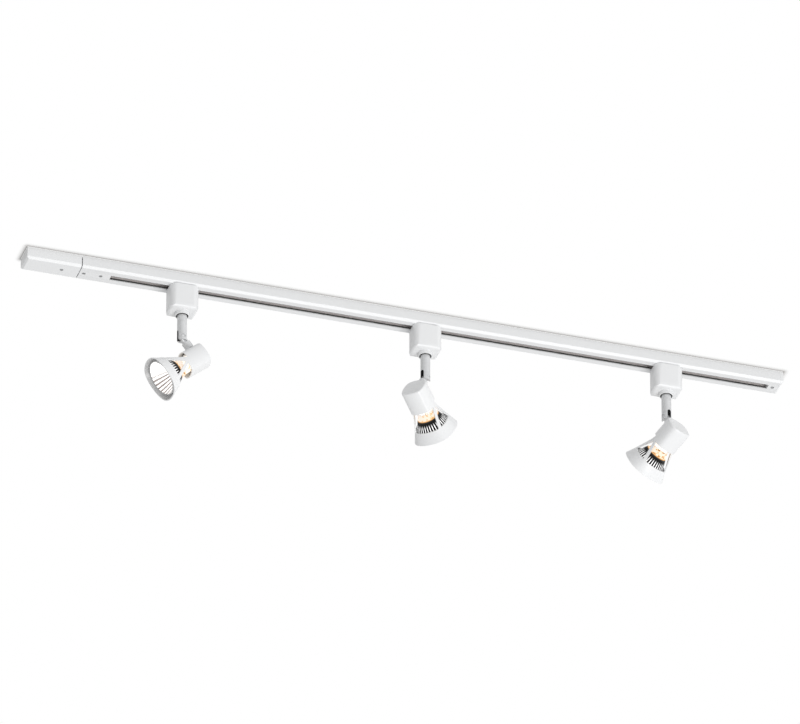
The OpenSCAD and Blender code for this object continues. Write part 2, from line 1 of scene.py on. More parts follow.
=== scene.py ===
# %% [markdown]
# # A ceiling track with three spot heads
# A white channel is screwed to the ceiling, and a feed box at one end brings the supply in.
# Three adapters hang from the slot. Each carries a grey stem, a knuckle and a cast lamp housing
# with an open cage, and a mirrored halogen lamp looks out of each housing.
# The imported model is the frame: every place below is read from it, in metres.

# %% Load the frame
import json
import math

import bmesh
import bpy
from mathutils import Matrix, Vector


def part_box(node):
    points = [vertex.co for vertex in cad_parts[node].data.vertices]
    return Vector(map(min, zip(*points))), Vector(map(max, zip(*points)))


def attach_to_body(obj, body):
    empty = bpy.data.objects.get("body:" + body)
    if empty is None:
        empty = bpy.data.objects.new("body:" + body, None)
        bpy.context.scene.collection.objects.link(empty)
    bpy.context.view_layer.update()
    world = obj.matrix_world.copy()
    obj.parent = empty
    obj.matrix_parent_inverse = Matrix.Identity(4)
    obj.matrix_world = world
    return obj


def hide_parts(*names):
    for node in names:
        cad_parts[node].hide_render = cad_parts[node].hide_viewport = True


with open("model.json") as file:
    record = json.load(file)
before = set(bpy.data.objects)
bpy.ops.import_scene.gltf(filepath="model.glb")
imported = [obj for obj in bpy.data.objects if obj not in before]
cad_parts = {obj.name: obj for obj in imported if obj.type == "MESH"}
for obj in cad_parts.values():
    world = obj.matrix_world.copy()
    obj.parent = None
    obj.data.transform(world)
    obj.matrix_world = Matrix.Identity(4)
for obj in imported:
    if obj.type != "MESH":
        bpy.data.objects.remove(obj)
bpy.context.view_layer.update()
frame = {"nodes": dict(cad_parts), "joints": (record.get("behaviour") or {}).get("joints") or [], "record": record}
MM = 0.001
HEADS = ("left", "middle", "right")
JOINTS = {joint["name"]: joint for joint in frame["joints"]}

# %% [markdown]
# ## A small language for finishes
# A finish is a tree of shader nodes. Written out by hand, the maths of even a simple pattern
# takes pages, so one small class wraps a socket and lets it be added and multiplied like a
# number. A number that is the same everywhere goes straight on to the shader instead.


# %% Sockets that can be calculated with
class Socket:
    """One output of a shader node, with operators that add Math nodes."""

    def __init__(self, finish, output):
        self.finish = finish
        self.output = output

    def math(self, operation, other, swap=False):
        pair = (other, self) if swap else (self, other)
        return self.finish.node("ShaderNodeMath", {"operation": operation}, {0: pair[0], 1: pair[1]})

    def __add__(self, other):
        return self.math("ADD", other)

    def __radd__(self, other):
        return self.math("ADD", other, swap=True)

    def __sub__(self, other):
        return self.math("SUBTRACT", other)

    def __rsub__(self, other):
        return self.math("SUBTRACT", other, swap=True)

    def __mul__(self, other):
        return self.math("MULTIPLY", other)

    def __rmul__(self, other):
        return self.math("MULTIPLY", other, swap=True)

    def __pow__(self, other):
        return self.math("POWER", other)


# %% A finish and its one way of making nodes
class Finish:
    """A material, with its shader and a method that makes any other node."""

    def __init__(self, name, **constants):
        self.material = bpy.data.materials.new(name)
        self.material.use_nodes = True
        self.tree = self.material.node_tree
        self.shader = self.tree.nodes["Principled BSDF"]
        for socket, value in constants.items():
            self.shader.inputs[socket.replace("_", " ")].default_value = value

    def node(self, kind, settings=None, sockets=None, output=0):
        made = self.tree.nodes.new(kind)
        for key, value in (settings or {}).items():
            setattr(made, key, value)
        for key, value in (sockets or {}).items():
            self.plug(made.inputs[key], value)
        return Socket(self, made.outputs[output])

    def plug(self, target, value):
        if isinstance(value, Socket):
            self.tree.links.new(value.output, target)
        else:
            target.default_value = value

    def feed(self, socket, value):
        self.plug(self.shader.inputs[socket], value)

    def place(self):
        return self.node("ShaderNodeTexCoord", output="Object")

    def part(self, vector, axis):
        """One number of a vector: axis 0 is x, 1 is y and 2 is z."""
        return self.node("ShaderNodeSeparateXYZ", {}, {0: vector}, output=axis)

    def function(self, operation, first, second=0.0):
        """A Math node that has no Python operator of its own."""
        return self.node("ShaderNodeMath", {"operation": operation}, {0: first, 1: second})

    def noise(self, scale, detail=2.0, stretch=None):
        where = self.place()
        if stretch:
            where = self.node("ShaderNodeMapping", {}, {"Vector": where, "Scale": stretch})
        return self.node("ShaderNodeTexNoise", {}, {"Vector": where, "Scale": scale, "Detail": detail})

    def band(self, value, low, high):
        """Rises smoothly from 0 at low to 1 at high."""
        sockets = {"Value": value, "From Min": low, "From Max": high}
        return self.node("ShaderNodeMapRange", {"interpolation_type": "SMOOTHSTEP"}, sockets)

    def mix(self, factor, first, second):
        kind = {"data_type": "RGBA"}
        return self.node("ShaderNodeMix", kind, {0: factor, 6: first, 7: second}, output=2)

    def bump(self, height, strength, distance):
        sockets = {"Height": height, "Strength": strength, "Distance": distance}
        self.feed("Normal", self.node("ShaderNodeBump", {}, sockets))


def grey(level, warm=0.0):
    """A grey that leans to red where warm is above 0, and to blue where it is below."""
    return (min(1.0, level * (1 + warm)), level, min(1.0, level * (1 - warm)), 1.0)


# %% [markdown]
# ## Finishes of the white pieces
# The channel is powder coated, the moulded pieces are polycarbonate and the lamp housings are
# stoved enamel on a casting. All three are nearly the same white. What tells them apart is the
# gloss and the texture: a fine orange peel on the enamel, a faint spark texture on the
# mouldings, and long soft draw lines on the extruded channel. The grain is a noise that feeds
# roughness and bump together, so a spot that is rougher is also a little higher.


# %% White finishes
def white_finish(name, level, rough, coat, grain, height, stretch=None):
    finish = Finish(name, Coat_Roughness=0.2, IOR=1.46)
    cloud = finish.noise(22.0, 3.0)
    finish.feed("Base Color", finish.mix(cloud, grey(level * 0.98, -0.006), grey(level, -0.010)))
    peel = finish.noise(grain, 2.0, stretch)
    finish.feed("Roughness", rough + 0.10 * peel)
    finish.shader.inputs["Coat Weight"].default_value = coat
    finish.bump(peel, 0.25, height)
    return finish.material


FINISH = {
    "white_track": white_finish("white_track", 0.825, 0.30, 0.1, 900.0, 2e-5, (0.02, 1.0, 1.0)),
    "white_moulding": white_finish("white_moulding", 0.85, 0.34, 0.05, 1600.0, 1.5e-5),
    "white_lacquer": white_finish("white_lacquer", 0.87, 0.24, 0.3, 500.0, 2e-5),
    "ceramic": white_finish("ceramic", 0.80, 0.22, 0.3, 700.0, 2e-5),
}
print("white finishes:", sorted(FINISH))

# %% [markdown]
# ## Metals and the grey insulator
# The stem is turned and satin finished, so its fine lines run round it: noise that changes
# faster along Z than across gives them. The screws are zinc plated, the copper strips are a pale,
# dull pink that is painted light, lighter than copper in the shade of the slot, and the
# insulator is a plain dark grey extrusion.


# %% Metal finishes
def metal_finish(name, dark, light, rough, stretch, metallic=1.0, grain=420.0):
    finish = Finish(name, Metallic=metallic)
    lines = finish.noise(grain, 3.0, stretch)
    finish.feed("Base Color", finish.mix(lines, dark, light))
    finish.feed("Roughness", rough + 0.16 * lines)
    finish.bump(lines, 0.2, 1e-5)
    return finish.material


EVEN = (1, 1, 1)
ROUND_THE_STEM = (0.3, 0.3, 1.0)
LENGTHWAYS = (0.01, 1, 1)
FINISH["satin_metal"] = metal_finish(
    "satin_metal", grey(0.66, -0.01), grey(0.84, -0.01), 0.32, ROUND_THE_STEM, 0.65, 260.0
)
FINISH["zinc_plate"] = metal_finish("zinc_plate", grey(0.36), grey(0.48, -0.02), 0.32, EVEN)
FINISH["brass"] = metal_finish("brass", (0.60, 0.43, 0.18, 1), (0.72, 0.54, 0.26, 1), 0.25, EVEN)
# Painted light: the copper strips are a pale, non-metallic pink, lighter than copper, to stand out in the shade of
# the slot.
FINISH["copper"] = metal_finish(
    "copper", (0.93, 0.86, 0.84, 1), (0.98, 0.92, 0.90, 1), 0.5, LENGTHWAYS, 0.0
)
FINISH["grey_insulator"] = metal_finish(
    "grey_insulator", grey(0.10, 0.02), grey(0.14, 0.02), 0.5, LENGTHWAYS, 0.0, 60.0
)
# Black: painted shade in the fork's slot and in the boss's mouth, and the dark line of the stem's joint.
FINISH["slot_black"] = metal_finish("slot_black", grey(0.010), grey(0.018), 0.7, EVEN, 0.0)
# Painted shade: the inside of each lamp housing is grey, not the white of the casting, standing for the shade
# inside the cup and ring.
FINISH["housing_inside_painted_shade"] = metal_finish("housing_inside_painted_shade", grey(0.50), grey(0.60), 0.36, EVEN, 0.1)
print("finishes so far:", len(FINISH))

# %% [markdown]
# ## The lit lamp
# The lamp is on, so its glass glows. Its bowl is pressed with facets that fan out from the
# burner: seen from the front they are nearly white, with brown lines between them, which fade
# out on the knuckle's side. Seen from behind the mirror is black, and thin ribs near the rim are
# painted near white and made to glow, a painted reflection of the mirror's facets. The neck glows
# cream and amber where light leaks out. A map that runs round the bowl (U) and along it (V)
# carries these patterns, so they fit the bowl wherever the lamp points.


# %% Finishes of the lamp
def around(finish):
    """From 0 to 1 round the bowl, starting on the side away from the knuckle."""
    return finish.part(finish.node("ShaderNodeUVMap"), 0)


def along(finish):
    """From 0 at the back of the bowl to 1 at its face."""
    return finish.part(finish.node("ShaderNodeUVMap"), 1)


def facet_lines(finish, count, threshold):
    """0 on a facet and 1 on the line between two facets."""
    wave = finish.function("SINE", around(finish) * (2 * math.pi * count))
    return finish.band(wave, threshold, threshold + 0.4)


def lit_bowl():
    finish = Finish("lit_bowl", Roughness=0.12, Emission_Strength=1.0)
    away = finish.function("COSINE", around(finish) * (2 * math.pi))
    lines = facet_lines(finish, 26, -0.1) * finish.band(away, -0.9, -0.2)
    glow = finish.mix(lines, (1.0, 0.99, 0.97, 1), (0.09, 0.05, 0.035, 1))
    finish.feed("Base Color", finish.mix(lines, grey(0.5), (0.06, 0.03, 0.02, 1)))
    finish.feed("Emission Color", glow)
    return finish.material


def leak(finish):
    """Light that leaks through clear glass: cream, with amber and brown marks."""
    cloud = finish.noise(230.0, 1.5)
    cream = finish.mix(finish.band(cloud, 0.53, 0.58), (1.0, 0.97, 0.91, 1), (0.95, 0.70, 0.38, 1))
    return finish.mix(finish.band(cloud, 0.58, 0.64), cream, (0.22, 0.11, 0.05, 1))


def mirror_back():
    finish = Finish("mirror_back", Emission_Strength=0.8, Specular_IOR_Level=0.2)
    v = along(finish)
    lip = finish.band(v, 0.92, 0.93)
    # Painted reflection: the ribs are painted near white and glow white, standing for the reflection on the
    # mirror's facets.
    ribs_and_painted_reflection = facet_lines(finish, 34, 0.42) * finish.band(v, 0.38, 0.52) * (1 - lip)
    dark = finish.mix(finish.band(v, 0.30, 0.36), grey(0.03), grey(0.004))
    brown = finish.mix(finish.band(v, 0.27, 0.30), (0.42, 0.20, 0.07, 1), dark)
    finish.feed("Base Color", finish.mix(ribs_and_painted_reflection, brown, grey(0.85)))
    finish.feed("Roughness", 0.16 + 0.1 * ribs_and_painted_reflection)
    ember = finish.mix(finish.band(v, 0.235, 0.255), leak(finish), (0.74, 0.46, 0.20, 1))
    glow = finish.mix(finish.band(v, 0.26, 0.29), ember, grey(0.0))
    leak_and_painted_rib_glow = finish.mix(ribs_and_painted_reflection, glow, grey(0.95))
    finish.feed("Emission Color", finish.mix(lip, leak_and_painted_rib_glow, grey(0.45)))
    return finish.material


def glowing_neck():
    finish = Finish("glowing_neck", Roughness=0.1, Emission_Strength=0.85)
    cloud = finish.noise(95.0, 1.0)
    finish.feed("Base Color", finish.mix(cloud, (0.62, 0.54, 0.44, 1), (0.78, 0.72, 0.64, 1)))
    finish.feed("Emission Color", leak(finish))
    return finish.material


def front_glass():
    finish = Finish("front_glass", Roughness=0.05, IOR=1.5, Alpha=0.16, Emission_Strength=0.2)
    ripple = finish.noise(260.0, 1.0)
    finish.feed("Base Color", finish.mix(ripple, grey(0.9), grey(1.0)))
    finish.bump(ripple, 0.3, 4e-5)
    finish.shader.inputs["Emission Color"].default_value = grey(1.0)
    return finish.material


def burner_glow():
    finish = Finish("burner_glow", Roughness=0.1, Emission_Strength=1.6)
    haze = finish.noise(300.0, 1.0)
    finish.feed("Emission Color", finish.mix(haze, (1.0, 0.93, 0.8, 1), grey(1.0)))
    finish.feed("Base Color", finish.mix(haze, grey(0.8), grey(0.9)))
    return finish.material


FINISH["reflector_glass"] = mirror_back()
FINISH["lit_bowl"] = lit_bowl()
FINISH["amber_glass"] = glowing_neck()
FINISH["clear_glass"] = front_glass()
FINISH["burner_glass"] = burner_glow()
print("finishes in all:", len(FINISH))

# %% [markdown]
# ## Making pieces
# Most pieces here are turned, extruded or moulded. Three helpers make them: one builds a mesh
# object from points and faces, one turns an outline round an axis, and one takes a CAD node's
# own shape, welds it and rounds its edges, which is quicker and truer than drawing it again.
# Another helper gives part of a piece a second finish.


# %% Piece helpers
def build(name, points, faces, slot, uvs=None):
    """A smooth mesh object with one finish, and a map if it has one."""
    mesh = bpy.data.meshes.new(name)
    mesh.from_pydata([tuple(point) for point in points], [], faces)
    mesh.update()
    if uvs:
        layer = mesh.uv_layers.new(name="around_and_along")
        for loop, uv in zip(layer.data, uvs):
            loop.uv = uv
    piece = bpy.data.objects.new(name, mesh)
    bpy.context.scene.collection.objects.link(piece)
    mesh.materials.append(FINISH[slot])
    for polygon in mesh.polygons:
        polygon.use_smooth = True
    return piece


def round_edges(piece, width, angle=35, segments=2):
    bevel = piece.modifiers.new("round_edges", "BEVEL")
    bevel.width = width
    bevel.segments = segments
    bevel.limit_method = "ANGLE"
    bevel.angle_limit = math.radians(angle)
    bevel.harden_normals = True
    bevel.use_clamp_overlap = True


def attach(piece, body, slot, *nodes):
    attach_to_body(piece, body)
    if nodes:
        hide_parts(*nodes)
    return piece


def turned(name, outline, matrix, slot, steps=72, inner_from=None, inner_slot=None):
    """Turns a closed outline of (radius, height) round the matrix's Z axis."""
    points, faces, uvs = [], [], []
    heights = [height for _, height in outline]
    low, high = min(heights), max(heights)
    count = len(outline)
    for step in range(steps):
        angle = 2 * math.pi * step / steps
        for radius, height in outline:
            points.append(matrix @ Vector((radius * math.cos(angle), radius * math.sin(angle), height)))
    for step in range(steps):
        following = (step + 1) % steps
        for k in range(count):
            after = (k + 1) % count
            here, there = step * count, following * count
            faces.append((here + k, there + k, there + after, here + after))
            for turn, index in ((step, k), (step + 1, k), (step + 1, after), (step, after)):
                uvs.append((turn / steps, (outline[index][1] - low) / (high - low)))
    piece = build(name, points, faces, slot, uvs)
    if inner_slot:
        piece.data.materials.append(FINISH[inner_slot])
        for index, polygon in enumerate(piece.data.polygons):
            if index % count >= inner_from:
                polygon.material_index = 1
    tidy_mesh(piece)
    return piece


def tidy_mesh(piece, flat_angle=None):
    """Welds double points, and joins faces that lie in one plane."""
    work = bmesh.new()
    work.from_mesh(piece.data)
    bmesh.ops.remove_doubles(work, verts=work.verts, dist=1e-6)
    if flat_angle:
        limit = math.radians(flat_angle)
        bmesh.ops.dissolve_limit(work, angle_limit=limit, verts=work.verts, edges=work.edges)
    bmesh.ops.recalc_face_normals(work, faces=work.faces)
    work.to_mesh(piece.data)
    work.free()


def softened(node, body, slot, width, angle=35):
    """A piece with the shape of a CAD node, welded and with round edges."""
    source = frame["nodes"][node].data
    points = [vertex.co for vertex in source.vertices]
    faces = [tuple(polygon.vertices) for polygon in source.polygons]
    piece = build(node + "_piece", points, faces, slot)
    tidy_mesh(piece, flat_angle=0.5)
    for polygon in piece.data.polygons:
        polygon.use_smooth = True
    piece.data.set_sharp_from_angle(angle=math.radians(angle))
    round_edges(piece, width, angle)
    return attach(piece, body, slot, node)


def second_finish(piece, slot, chosen):
    """Gives another finish to the faces whose middle is chosen."""
    piece.data.materials.append(FINISH[slot])
    count = 0
    for polygon in piece.data.polygons:
        if chosen(polygon.center):
            polygon.material_index = 1
            count += 1
    return count


# %% [markdown]
# ## The track
# The channel is one extrusion: a flat web against the ceiling, two sides, two bevelled lower
# edges and the lips of the slot. Its edges are a little round, as extruded edges are, and that
# is what catches the light along the whole length. The feed, its plug, the end cap and the
# screws keep their CAD shape too, with edges rounded to suit each of them.


# %% Channel, feed and end cap
EXTRUDED_EDGE = 0.35 * MM
SCREW_EDGE = 0.12 * MM
for node in ("track_channel", "feed_cover", "feed_tongue", "end_cap"):
    slot = "white_track" if node == "track_channel" else "white_moulding"
    softened(node, "track", slot, EXTRUDED_EDGE)
softened("track_screws", "track", "zinc_plate", SCREW_EDGE)
low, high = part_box("track_channel")
print("track:", [round(side / MM, 1) for side in (high - low)], "mm")

# %% [markdown]
# ## The heads' frames
# Each head has been turned and tipped its own way. The tilt joint gives the pivot and the
# cross axis. The socket and the front glass lie on the lamp's axis, so the line through their
# middles is that axis. From these comes a frame for each housing: Z forward, X away from the
# knuckle, and the origin at the back of the cup.


# %% Frames
def middle_of(node):
    lowest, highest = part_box(node)
    return (lowest + highest) / 2


def lamp_frame(head):
    pivot = Vector(JOINTS["tilt_" + head]["pos_m"])
    seat = middle_of("lamp_socket_" + head)
    forward = (middle_of("lamp_glass_" + head) - seat).normalized()
    foot = seat + forward * (pivot - seat).dot(forward)
    away = (foot - pivot).normalized()
    corners = frame["nodes"]["lamp_housing_" + head].data.vertices
    back = min((corner.co - foot).dot(forward) for corner in corners)
    matrix = Matrix((away, forward.cross(away), forward)).transposed().to_4x4()
    return Matrix.Translation(foot + forward * back) @ matrix


def extent(node, matrix):
    """The lowest and highest places of a node's points in a given frame."""
    inverse = matrix.inverted()
    points = [inverse @ vertex.co for vertex in frame["nodes"][node].data.vertices]
    return [(min(p[k] for p in points), max(p[k] for p in points)) for k in range(3)]


LAMP = {head: lamp_frame(head) for head in HEADS}
reach = extent("lamp_housing_left", LAMP["left"])
print("lamp housing, left:", [tuple(round(v / MM, 1) for v in pair) for pair in reach])

# %% [markdown]
# ## Adapter and stem
# The adapter's housing is a deep moulding with round corners, and a boss with a narrow rim
# stands round the stem. The stem is a turned tube in two parts with a fork at its end. The
# inside of the fork's slot is painted black as painted shade, so the faces whose middles lie in
# the slot get that black finish. Two thin black rings make dark lines: the one in the boss's mouth
# is painted shade in its recess, and the one at the stem's joint is the joint's dark line.


# %% Adapters and stems
# Half of the fork's slot, and the height above the pivot that the slot stays under.
FORK_HALF = 3.05 * MM
FORK_TOP = 11.0 * MM
# Inner and outer radius, thickness, and how far the black ring of painted shade lies inside the boss's mouth.
PAINTED_SHADE_RING = (7.15 * MM, 8.7 * MM)
PAINTED_SHADE_RING_T = 0.3 * MM
PAINTED_SHADE_RING_IN = 0.05 * MM
SEAM = (6.4 * MM, 6.97 * MM)
SEAM_T = 0.6 * MM


def dark_ring(name, head, z, radii, height):
    """A flat ring round the stem, from z upwards."""
    axis = Vector(JOINTS["swivel_" + head]["pos_m"])
    small, large = radii
    outline = [(small, 0.0), (large, 0.0), (large, height), (small, height)]
    place = Matrix.Translation((axis.x, axis.y, z))
    return turned(name + "_" + head, outline, place, "slot_black", steps=64)


def rings_of(head):
    """A black ring of painted shade in the mouth of the boss, and the dark sealed joint of the stem's two parts.
    """
    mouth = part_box("adapter_housing_" + head)[0].z + PAINTED_SHADE_RING_IN
    # Painted shade: a thin black ring in the boss's mouth stands for the shade in its recess.
    painted_shade_ring = dark_ring("recess_painted_shade_ring", head, mouth, PAINTED_SHADE_RING, PAINTED_SHADE_RING_T)
    attach(painted_shade_ring, "adapter_" + head, "grey_insulator")
    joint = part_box("stem_tube_" + head)[0].z - SEAM_T / 2
    seam = dark_ring("stem_seam", head, joint, SEAM, SEAM_T)
    attach(seam, "stem_" + head, "grey_insulator")


for head in HEADS:
    softened("adapter_housing_" + head, "adapter_" + head, "white_moulding", 0.3 * MM)
    softened("stem_tube_" + head, "stem_" + head, "satin_metal", 0.4 * MM)
    fork = softened("stem_fork_" + head, "stem_" + head, "satin_metal", 0.4 * MM)
    softened("pivot_screw_" + head, "stem_" + head, "satin_metal", 0.15 * MM)
    softened("knuckle_" + head, "lamp_" + head, "satin_metal", 0.3 * MM)
    rings_of(head)
    pivot = Vector(JOINTS["tilt_" + head]["pos_m"])
    across = Vector(JOINTS["tilt_" + head]["axis"]).normalized()
    # Painted shade: faces inside the fork's slot get the black finish, standing for the shade in the slot.
    dark = second_finish(
        fork, "slot_black",
        lambda spot: abs((spot - pivot).dot(across)) < FORK_HALF and spot.z < pivot.z + FORK_TOP,
    )
    print(head, "adapter and stem: 7 pieces,", dark, "dark faces in the fork's slot")

# %% [markdown]
# ## The lamp housing
# The casting is a square cup with bowed sides and soft corners. It opens into a cage: on two
# sides a pair of arms spreads from the cup's mouth to the corners of a flared ring. Its skin is
# laid out as rows from the back to the rim. Across each row the points follow the edges of the
# arms, so that a window is just a patch of faces that isn't made. The same rows, set in by the
# wall, make the inside, and strips along every open edge join the two.

# %% Sizes of the lamp housing
CUP_HALF = 17.8 * MM
RIM_HALF = 32.0 * MM
BULGE = 18.0 * MM
WALL = 1.6 * MM
CUP_NEAR = 31.0 * MM
CUP_FAR = 36.0 * MM
SIDE_POINT = 38.0 * MM
FLARE_FROM = 38.0 * MM
FLARE_CURVE = 1.4
RING_FROM = 64.0 * MM
RIM_AT = reach[2][1]
ARM = 5.0 * MM
ROOT = 4.5 * MM
CORNER_POWER = 16
EDGE_R = 1.6 * MM
FIRST_ROW = 2.0 * MM


def half_width(w):
    """Half of the housing's width across its flats, at w from the back."""
    grown = max(0.0, (w - FLARE_FROM) / (RIM_AT - FLARE_FROM)) ** FLARE_CURVE
    return CUP_HALF + (RIM_HALF - CUP_HALF) * grown


def radius_at(angle, w, inset):
    """Radius of the bowed square with soft corners, in the direction of an angle."""
    bow = BULGE + half_width(w) - inset
    total = 0.0
    for quarter in range(4):
        slope = math.cos(angle - quarter * math.pi / 2)
        if slope > 0.05:
            side = -BULGE * slope + math.sqrt((BULGE * slope) ** 2 + bow**2 - BULGE**2)
            total += side**-CORNER_POWER
    return total ** (-1 / CORNER_POWER)


def angle_of(x, w):
    """Direction of the point at x on the side that faces +Y."""
    bow = BULGE + half_width(w)
    return math.atan2(math.sqrt(bow**2 - x**2) - BULGE, x)


print("ring:", round(half_width(RING_FROM) / MM, 2), "mm to its flat")

# %% [markdown]
# ### Rows and columns of the skin
# A column is a line that runs from back to rim. Going round from the far side, the columns
# that matter are the corner, the outer edge of an arm, its inner edge, the middle of the side,
# and the same again on the knuckle's side.


# %% Skin of the lamp housing
def spread(start, end, parts):
    """Even steps from start, up to but without end."""
    return [start + (end - start) * k / parts for k in range(parts)]


def share(w, start):
    """How far w is on the way from start to the ring, from 0 to 1."""
    return min(1.0, max(0.0, (w - start) / (RING_FROM - start)))


def key_angles(w):
    """Half a turn of column angles: (angle, divisions to the next)."""
    ring_edge = half_width(RING_FROM) - ARM
    far_edge = ROOT + (ring_edge - ROOT) * share(w, CUP_FAR)
    near_edge = ROOT + (ring_edge - ROOT) * share(w, CUP_NEAR)
    inner = max(0.05 * MM, (ring_edge - ARM) * share(w, SIDE_POINT))
    corner = math.radians(44)
    far_outer = max(corner + 0.02, angle_of(far_edge, w))
    near_outer = max(corner + 0.02, angle_of(near_edge, w))
    inner_angle = angle_of(inner, w)
    return [
        (0.0, 10),
        (corner, 6),
        (far_outer, 4),
        (inner_angle, 5),
        (math.pi / 2, 5),
        (math.pi - inner_angle, 4),
        (math.pi - near_outer, 6),
        (math.pi - corner, 10),
        (math.pi, 0),
    ]


def ring_angles(w):
    """The angles of all columns at w, once round."""
    keys = key_angles(w)
    half = []
    for (start, parts), (end, _) in zip(keys, keys[1:]):
        half += spread(start, end, parts)
    return half + [math.pi] + [2 * math.pi - angle for angle in reversed(half[1:])]


STOPS = ((FIRST_ROW, 8), (CUP_NEAR, 3), (CUP_FAR, 1), (SIDE_POINT, 10), (RING_FROM, 7), (RIM_AT, 0))
ROWS = [w for (w1, parts), (w2, _) in zip(STOPS, STOPS[1:]) for w in spread(w1, w2, parts)] + [RIM_AT]
PARTS = [parts for _, parts in key_angles(0.0)[:-1]]
print("skin:", len(ROWS), "rows of", 2 * sum(PARTS), "columns")


def open_patch(row, column):
    """True where the skin between two rows and two columns is a window."""
    half = sum(PARTS)
    place = column if column < half else 2 * half - 1 - column
    w = (ROWS[row] + ROWS[row + 1]) / 2
    edges = [sum(PARTS[:k]) for k in range(len(PARTS) + 1)]
    if w >= RING_FROM:
        return False
    if place < edges[2]:
        return w > CUP_FAR
    if edges[3] <= place < edges[5]:
        return w > SIDE_POINT
    if place >= edges[6]:
        return w > CUP_NEAR
    return False


def lamp_housing(head):
    """The cup, the arms and the ring of one head, inside and out."""
    matrix = LAMP[head]
    points, faces, kinds = [], [], []
    columns = 2 * sum(PARTS)

    def add_ring(angles, w_shape, w_place, inset, scale=1.0):
        first = len(points)
        for angle in angles:
            radius = radius_at(angle, w_shape, inset) * scale
            points.append(matrix @ Vector((radius * math.cos(angle), radius * math.sin(angle), w_place)))
        return first

    def skin(inset, inside):
        back = inset
        turns = ring_angles(0.0)
        rings = [add_ring(turns, 0.0, back, inset, 0.02)]
        rings.append(add_ring(turns, 0.0, back, inset, 0.6))
        for k in range(4):
            lean = math.pi / 2 * k / 4
            rise, pull = EDGE_R * (1 - math.cos(lean)), EDGE_R * (1 - math.sin(lean))
            rings.append(add_ring(turns, 0.0, back + rise, inset + pull))
        body_rings = [
            add_ring(ring_angles(w), w, w if w > FIRST_ROW else back + EDGE_R, inset) for w in ROWS
        ]
        for below, above in zip(rings, rings[1:] + body_rings[:1]):
            stitch(below, above, inside)
        for row, (below, above) in enumerate(zip(body_rings, body_rings[1:])):
            stitch(below, above, inside, row)
        cap = [rings[0] + k for k in range(columns)]
        faces.append(tuple(cap if inside else reversed(cap)))
        kinds.append(1 if inside else 0)
        return body_rings

    def stitch(below, above, inside, row=None):
        for column in range(columns):
            if row is not None and open_patch(row, column):
                continue
            after = (column + 1) % columns
            face = (below + column, below + after, above + after, above + column)
            faces.append(tuple(reversed(face)) if inside else face)
            kinds.append(1 if inside else 0)

    outer = skin(0.0, False)
    inner = skin(WALL, True)
    last = len(ROWS) - 1

    def solid(row, column):
        return 0 <= row < last and not open_patch(row, column % columns)

    for row in range(last):
        for column in range(columns):
            after = (column + 1) % columns
            here = solid(row, column)
            if here != solid(row, column - 1):
                face = (outer[row], outer[row + 1], inner[row + 1], inner[row])
                face = tuple(ring + column for ring in face)
                faces.append(face if here else tuple(reversed(face)))
                kinds.append(0)
            if here != solid(row + 1, column):
                top = row + 1
                face = (outer[top] + column, outer[top] + after, inner[top] + after, inner[top] + column)
                faces.append(face if here else tuple(reversed(face)))
                kinds.append(0)
    piece = build("lamp_housing_" + head + "_piece", points, faces, "white_lacquer")
    # The inner skin gets the grey of painted shade.
    piece.data.materials.append(FINISH["housing_inside_painted_shade"])
    for polygon, kind in zip(piece.data.polygons, kinds):
        polygon.material_index = kind
    tidy_mesh(piece)
    round_edges(piece, 0.3 * MM, 40)
    return attach(piece, "lamp_" + head, "white_lacquer", "lamp_housing_" + head)


for head in HEADS:
    made = lamp_housing(head)
    print(made.name, len(made.data.polygons), "faces")

# %% [markdown]
# ## The lamps
# Each lamp is a pressed glass bowl with a mirror skin, a thick neck, two pins and a front
# glass. The bowl is turned from its outline, and the CAD bowl gives its length and its face.
# Inside, the mirror is a deeper curve that runs down to the burner's hole.

# %% Sizes of the lamp
FACE_AT = extent("lamp_reflector_left", LAMP["left"])[2][1]
BOWL_FROM = extent("lamp_reflector_left", LAMP["left"])[2][0]
NECK_R = 13.0 * MM
FACE_R = extent("lamp_reflector_left", LAMP["left"])[0][1]
BURNER_HOLE = 6.0 * MM
NECK_END = 47.5 * MM
LIP = 2.0 * MM
GLASS_T = 1.4 * MM
BOWL_POWER = 0.72


def bowl_radius(w):
    grown = max(0.0, min(1.0, (w - NECK_END) / (FACE_AT - LIP - NECK_END)))
    return NECK_R + (FACE_R - NECK_R) * grown**BOWL_POWER


def mirror_radius(w):
    """The mirror inside is a deeper curve than the glass outside, down to the burner's hole."""
    grown = max(0.0, min(1.0, (w - NECK_END) / (FACE_AT - LIP - NECK_END)))
    return BURNER_HOLE + (FACE_R - GLASS_T - BURNER_HOLE) * grown**0.55


def bowl_outline():
    last = FACE_AT - LIP
    stops = [BOWL_FROM] + [NECK_END + (last - NECK_END) * (k / 14) ** 1.3 for k in range(15)]
    outside = [(bowl_radius(w), w) for w in stops] + [(FACE_R, FACE_AT)]
    inside = [(FACE_R - GLASS_T, FACE_AT), (FACE_R - GLASS_T, last)]
    inside += [(mirror_radius(w), w) for w in reversed(stops[1:-1])]
    return outside, inside + [(BURNER_HOLE, BOWL_FROM)]


# %% Bowl, neck, glass and burner
for head in HEADS:
    outside, inside = bowl_outline()
    bowl = turned(
        "lamp_bowl_" + head, outside + inside, LAMP[head], "reflector_glass",
        steps=120, inner_from=len(outside), inner_slot="lit_bowl",
    )
    attach(bowl, "lamp_" + head, "reflector_glass", "lamp_reflector_" + head)
    softened("lamp_base_" + head, "lamp_" + head, "amber_glass", 0.5 * MM)
    softened("lamp_glass_" + head, "lamp_" + head, "clear_glass", 0.3 * MM)
    softened("lamp_burner_" + head, "lamp_" + head, "burner_glass", 0.3 * MM)
    softened("lamp_socket_" + head, "lamp_" + head, "ceramic", 0.3 * MM)
print("lamp face at", round(FACE_AT / MM, 1), "mm from the cup's back")

